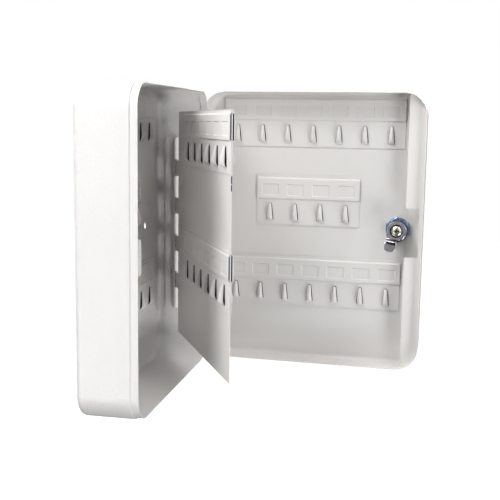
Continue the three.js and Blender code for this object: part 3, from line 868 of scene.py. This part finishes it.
def lock_body():
    """Head with a rolled edge, a threaded barrel and a bore for the plug."""
    pitch = 1
    threads = []
    count = int((THREAD_END - 1 - (FACE + 1)) / pitch)
    for i in range(count):
        y = FACE + 1 + i * pitch
        threads += [(THREAD_RADIUS - 0.55, y), (THREAD_RADIUS, y + pitch * 0.45),
                    (THREAD_RADIUS, y + pitch * 0.55)]
    profile = [(PLUG_RADIUS + 0.25, FACE - 2.1), (7.5, FACE - 2.3), (9.8, FACE - 2.1), (10.7, FACE - 1.4),
               (11, FACE - 0.7), (11, FACE - 0.1), (THREAD_RADIUS - 0.5, FACE - 0.1)]
    profile += threads + [(THREAD_RADIUS - 0.6, THREAD_END - 0.3), (THREAD_RADIUS - 1, THREAD_END),
                          (PLUG_RADIUS + 0.25, THREAD_END)]
    finish_piece(lathe(profile, 64), "lock_body_turned", "lock_body", "door", [NICKEL],
                 LOCK_FIXED, sharp=30)


def lock_washer():
    """Flat washer between the door's panel and the nut."""
    back = FACE + SHEET + 0.1
    outer = 13
    profile = [(THREAD_RADIUS + 0.2, back), (outer, back), (outer + 0.15, back + 0.4),
               (outer - 0.1, back + 0.9), (THREAD_RADIUS + 0.2, back + 0.9)]
    finish_piece(lathe(profile, 64), "lock_washer_disc", "lock_washer", "door", [ZINC], LOCK_FIXED)


def hexagon(angle, flats):
    """Distance from the middle to a hexagon's edge, with a corner at the top."""
    turn = (angle + math.pi / 6) % (math.pi / 3) - math.pi / 6
    return flats / 2 / math.cos(turn)


def lock_nut():
    """Hexagon nut with turned-down corners, at rest a few degrees round from upright."""
    back = FACE + SHEET + 1.1
    front = back + NUT_THICKNESS
    corner = NUT_FLATS / math.sqrt(3)

    def shape(angle, radius):
        return radius if radius < THREAD_RADIUS + 1 else min(hexagon(angle, NUT_FLATS), radius)

    profile = [(THREAD_RADIUS + 0.1, back + 0.5), (THREAD_RADIUS + 0.6, back)]
    profile += [(12.2, back), (12.9, back + 0.25), (corner, back + 0.8)]
    profile += [(corner, back + NUT_THICKNESS * share) for share in (0.3, 0.6)]
    profile += [(corner, front - 0.8), (13.3, front - 0.45), (12.8, front - 0.2), (12.2, front)]
    profile += [(THREAD_RADIUS + 0.6, front), (THREAD_RADIUS + 0.1, front - 0.5)]
    tilt = Matrix.Rotation(math.radians(4), 4, "Y")
    finish_piece(lathe(profile, 96, shape), "lock_nut_hexagon", "lock_nut", "door", [ZINC],
                 LOCK_FIXED @ tilt, bevel=0.22, sharp=25)


def lock_plug():
    """Plug face with a keyway, and the square end that drives the cam."""
    face = FACE - 2.2
    keyway = [(-0.9, -3.6), (0.9, -3.6), (0.9, -1.2), (0.5, -0.8), (0.5, 1), (0.9, 1.4), (0.9, 3.6),
              (-0.9, 3.6)]
    outline = circle((0, 0), PLUG_RADIUS, 48)
    front = plate(outline, [keyway], 5, face)
    core = lathe([(0.02, face + 4.9), (PLUG_RADIUS, face + 4.9), (PLUG_RADIUS, THREAD_END + 0.2),
                  (0.02, THREAD_END + 0.2)], 48)
    square = block(-3.4, 3.4, THREAD_END, HUB_FACE - 0.1, -3.4, 3.4)
    finish_piece(join([front, core, square]), "lock_plug_turned", "lock_plug", "cam", [NICKEL],
                 LOCK_TURNING, bevel=0.12)


def lock_cam():
    """Cranked cam cut from sheet: a round hub, a bend towards the case and a tongue that leans back a little.
    The tongue's hinge side is nearly level with the hub's."""
    hub = 10.6
    left = -2
    right = 10.1
    reach = 23
    corner = 4.6
    rise = 5.4
    bend_start = 8.9
    bend_run = 3.2
    droop = 0.45
    droop_start = 11.8
    droop_run = 3.6
    # Rows of vertices from the top down, closest together at the bend
    hub_angles = (4, 12, 22, 33, 44, 55, 67, 79, 90, 100, 110, 120, 129, 137)
    rows = [hub * math.cos(math.radians(a)) for a in hub_angles]
    rows += [-8.2, -8.9, -9.4, -9.8, -10.1, -10.4, -10.8, -11.2, -11.6, -12]
    rows += [-12.6, -13.3, -14, -14.7, -15.3, -15.9, -16.7]
    rows += [corner - reach - corner * math.sin(math.radians(a)) for a in (0, 18, 36, 54, 72, 88)]
    bm = bmesh.new()
    shares = (-1, -0.95, -0.6, -0.3, 0, 0.3, 0.6, 0.95, 1)
    rings = []
    for row in rows:
        disc = math.sqrt(max(hub * hub - row * row, 0))
        if row > 0:
            low, high = -disc, disc
        elif row > corner - reach:
            low, high = min(left, -disc), right
        else:
            drop = corner - reach - row
            round_off = corner - math.sqrt(max(corner ** 2 - drop ** 2, 0))
            low, high = left + round_off, right - round_off
        lift = rise * smooth_step((-row - bend_start) / bend_run)
        lift -= droop * smooth_step((-row - droop_start) / droop_run)
        ring = []
        for y, order in ((HUB_BACK, shares), (HUB_FACE, tuple(reversed(shares)))):
            for share in order:
                soft = 0.25 if abs(share) == 1 else 0
                inward = soft if y == HUB_BACK else -soft
                x = (low + high) / 2 + share * (high - low) / 2
                ring.append((x, y + lift + inward, row))
        rings.append(add_ring(bm, ring))
    for ring_a, ring_b in zip(rings, rings[1:]):
        bridge(bm, ring_a, ring_b)
    bm.faces.new(rings[0])
    bm.faces.new(rings[-1])
    finish_piece(bm, "lock_cam_cranked", "lock_cam", "cam", [CAM_STEEL], LOCK_TURNING, sharp=42)


def lock_cam_washer():
    """Dished washer under the screw's head, coloured near black as painted shade round the head."""
    back = HUB_FACE + 0.05
    profile = [(2.3, back), (7.3, back), (7.4, back + 0.35), (7.1, back + 0.8), (5.6, back + 0.45),
               (2.3, back + 0.45)]
    finish_piece(lathe(profile, 64), "lock_cam_washer_dished", "lock_cam_washer", "cam",
                 [PAINTED_SHADE_METAL], LOCK_TURNING)


def lock_cam_screw():
    """Pan head with a tapered cross recess, whose deep faces are painted dark as shade."""
    under = HUB_FACE + 0.55
    head = 5.7
    height = 2.7
    rim = 0.5
    recess = 1.7
    sides = 96
    steps = 26
    bm = bmesh.new()
    rings = []
    recessed = []
    for k in range(steps + 1):
        radius = 0.03 + (head - 0.03) * k / steps
        ring = []
        for i in range(sides):
            angle = 2 * math.pi * i / sides
            x = radius * math.cos(angle)
            z = radius * math.sin(angle)
            dome = height * (1 - 0.62 * (radius / head) ** 3.2)
            dome -= rim * smooth_step((radius - head + rim) / rim)
            arm = max(smooth_step((0.85 - abs(x)) / 0.35) * smooth_step((2.7 - abs(z)) / 0.9),
                      smooth_step((0.85 - abs(z)) / 0.35) * smooth_step((2.7 - abs(x)) / 0.9))
            ring.append((x, under + dome - recess * arm, z))
            recessed.append(arm > 0.55)
        rings.append(add_ring(bm, ring))
    for ring_a, ring_b in zip(rings, rings[1:]):
        bridge(bm, ring_a, ring_b)
    bm.faces.new(rings[0])
    bm.verts.index_update()
    # Faces deep in the cross recess take the painted shade
    for face in bm.faces:
        if all(recessed[vert.index] for vert in face.verts):
            face.material_index = PAINTED_RECESS_SHADE
    foot = add_ring(bm, [(x, under, z) for x, z in circle((0, 0), head, sides)])
    bridge(bm, rings[-1], foot)
    bm.faces.new(foot)
    finish_piece(bm, "lock_cam_screw_head", "lock_cam_screw", "cam",
                 [YELLOW_ZINC, PAINTED_SHADE_METAL], LOCK_TURNING, sharp=50)


# ------------------------------------------------------------------ building everything

case_shell()
door_shell()
case_and_door_rails()
leaf_panel()
leaf_rails()
leaf_hinge_bracket()
pin("leaf_hinge_pin_rod", "leaf_hinge_pin", LEAF_PIN, LEAF_PIN_RADIUS,
    LEAF_HINGE_BOTTOM, LEAF_HINGE_TOP, STILL)
door_hinges()
door_edge_strip()
strike_plate()
lock_body()
lock_washer()
lock_nut()
lock_plug()
lock_cam()
lock_cam_washer()
lock_cam_screw()


# ------------------------------------------------------------------ camera, floor and light

# The camera's place in metres, its angles in degrees and its lens in millimetres. Yaw turns from +X towards
# the wall, pitch is downwards, and roll lifts the camera's right side.
CAMERA_PLACE = (-0.8181, -0.2928, 0.1142)
CAMERA_YAW = 11.16
CAMERA_PITCH = 8.25
CAMERA_ROLL = 0.88
CAMERA_LENS = 62.46


def camera():
    """Stands level with the upper half of the cabinet, beyond its lock side, looking along the wall."""
    yaw = math.radians(CAMERA_YAW)
    pitch = math.radians(CAMERA_PITCH)
    roll = math.radians(CAMERA_ROLL)
    forward = Vector((math.cos(yaw) * math.cos(pitch), math.sin(yaw) * math.cos(pitch), -math.sin(pitch)))
    level = Vector((math.sin(yaw), -math.cos(yaw), 0))
    up = level.cross(forward)
    right = math.cos(roll) * level + math.sin(roll) * up
    top = -math.sin(roll) * level + math.cos(roll) * up
    data = bpy.data.cameras.new("camera")
    data.sensor_width = 36
    data.lens = CAMERA_LENS
    data.clip_start = 0.01
    viewer = bpy.data.objects.new("camera", data)
    turn = Matrix((right, top, -forward)).transposed().to_4x4()
    viewer.matrix_world = Matrix.Translation(CAMERA_PLACE) @ turn
    bpy.context.scene.collection.objects.link(viewer)
    bpy.context.scene.camera = viewer


FLOOR_RADIUS = 6
FLOOR_LEVEL = -0.75


def floor():
    """A plain pale floor, well below a cabinet that hangs on a wall. It glows like a light table, and neither
    shades nor lights the cabinet."""
    bm = bmesh.new()
    rim = add_ring(bm, [(x, y, FLOOR_LEVEL) for x, y in circle((0, 0), FLOOR_RADIUS, 48)])
    bm.faces.new(rim)
    mesh = bpy.data.meshes.new("floor")
    bm.to_mesh(mesh)
    bm.free()
    material, tree, shader, where = node_material("floor_white")
    colour = ramp(tree, noise(tree, where, 3, 2), [(0.3, (0.93, 0.93, 0.93)), (0.7, (0.95, 0.95, 0.95))])
    tree.links.new(colour, shader.inputs["Base Color"])
    shader.inputs["Roughness"].default_value = 0.8
    shader.inputs["Emission Color"].default_value = (1, 1, 1, 1)
    shader.inputs["Emission Strength"].default_value = 1
    mesh.materials.append(material)
    plane = bpy.data.objects.new("floor", mesh)
    plane.visible_diffuse = False
    plane.visible_glossy = False
    plane.visible_shadow = False
    bpy.context.scene.collection.objects.link(plane)


# Soft boxes round the cabinet: yaw (from -X towards the front) and elevation in degrees, power in watts,
# then distance and size in metres
SOFT_BOXES = {
    "top": (0, 90, 11, 1.7, 0.7),
    "left_high": (-35, 50, 18, 1.7, 0.7),
    "left_near": (-35, 20, 3, 1, 0.5),
    "left_low": (-30, -20, 7, 1.7, 0.7),
    "front_high": (60, 50, 8, 1.7, 0.7),
    "front_level": (50, 10, 4, 1.7, 0.7),
    "front_low": (60, -40, 16, 1.7, 0.7),
    "back_high": (-90, 50, 10, 1.7, 0.7),
    "hinge_side": (170, 20, 14, 1.7, 0.7),
}
BOX_TARGET = Vector((0, -0.12, 0))


def soft_box(name, yaw, elevation, watts, distance, size):
    """A square area light at this yaw and elevation, aimed at the cabinet."""
    turn = math.radians(yaw)
    lift = math.radians(elevation)
    level = math.cos(lift)
    away = Vector((-math.cos(turn) * level, -math.sin(turn) * level, math.sin(lift)))
    data = bpy.data.lights.new(name, "AREA")
    data.shape = "SQUARE"
    data.size = size
    data.energy = watts
    lamp = bpy.data.objects.new(name, data)
    lamp.location = BOX_TARGET + distance * away
    lamp.rotation_mode = "QUATERNION"
    lamp.rotation_quaternion = (-away).to_track_quat("-Z", "Y")
    lamp.visible_camera = False
    bpy.context.scene.collection.objects.link(lamp)


# Strengths of the room round the cabinet, and the heights of a direction between which floor turns into room
FILL_COLOUR = (0.35, 0.6, 1, 1)
FILL_STRENGTH = 0.02
FLOOR_STRENGTH = 0.02
ROOM_STRENGTH = 0.42
FLOOR_ENDS = -0.27
ROOM_STARTS = -0.16


def surroundings():
    """White to the camera. Reflections see a dim grey room above a dark floor, and everything else gets a
    faint blue fill, so that the soft boxes do the lighting."""
    world = bpy.data.worlds.new("studio")
    bpy.context.scene.world = world
    world.use_nodes = True
    tree = world.node_tree
    rays = tree.nodes.new("ShaderNodeLightPath")
    white = tree.nodes["Background"]
    white.inputs["Color"].default_value = (1, 1, 1, 1)
    fill_light = tree.nodes.new("ShaderNodeBackground")
    fill_light.inputs["Color"].default_value = FILL_COLOUR
    fill_light.inputs["Strength"].default_value = FILL_STRENGTH
    room = tree.nodes.new("ShaderNodeBackground")
    direction = tree.nodes.new("ShaderNodeTexCoord")
    split = tree.nodes.new("ShaderNodeSeparateXYZ")
    tree.links.new(direction.outputs["Generated"], split.inputs["Vector"])
    height = tree.nodes.new("ShaderNodeMapRange")
    height.inputs["From Min"].default_value = FLOOR_ENDS
    height.inputs["From Max"].default_value = ROOM_STARTS
    height.inputs["To Min"].default_value = FLOOR_STRENGTH
    height.inputs["To Max"].default_value = ROOM_STRENGTH
    tree.links.new(split.outputs["Z"], height.inputs["Value"])
    tree.links.new(height.outputs["Result"], room.inputs["Strength"])
    reflections = tree.nodes.new("ShaderNodeMixShader")
    tree.links.new(rays.outputs["Is Glossy Ray"], reflections.inputs["Fac"])
    tree.links.new(fill_light.outputs["Background"], reflections.inputs[1])
    tree.links.new(room.outputs["Background"], reflections.inputs[2])
    seen = tree.nodes.new("ShaderNodeMixShader")
    tree.links.new(rays.outputs["Is Camera Ray"], seen.inputs["Fac"])
    tree.links.new(reflections.outputs["Shader"], seen.inputs[1])
    tree.links.new(white.outputs["Background"], seen.inputs[2])
    tree.links.new(seen.outputs["Shader"], tree.nodes["World Output"].inputs["Surface"])


def studio():
    for name, settings in SOFT_BOXES.items():
        soft_box(name, *settings)
    surroundings()
    bpy.context.scene.view_settings.view_transform = "Standard"


camera()
floor()
studio()
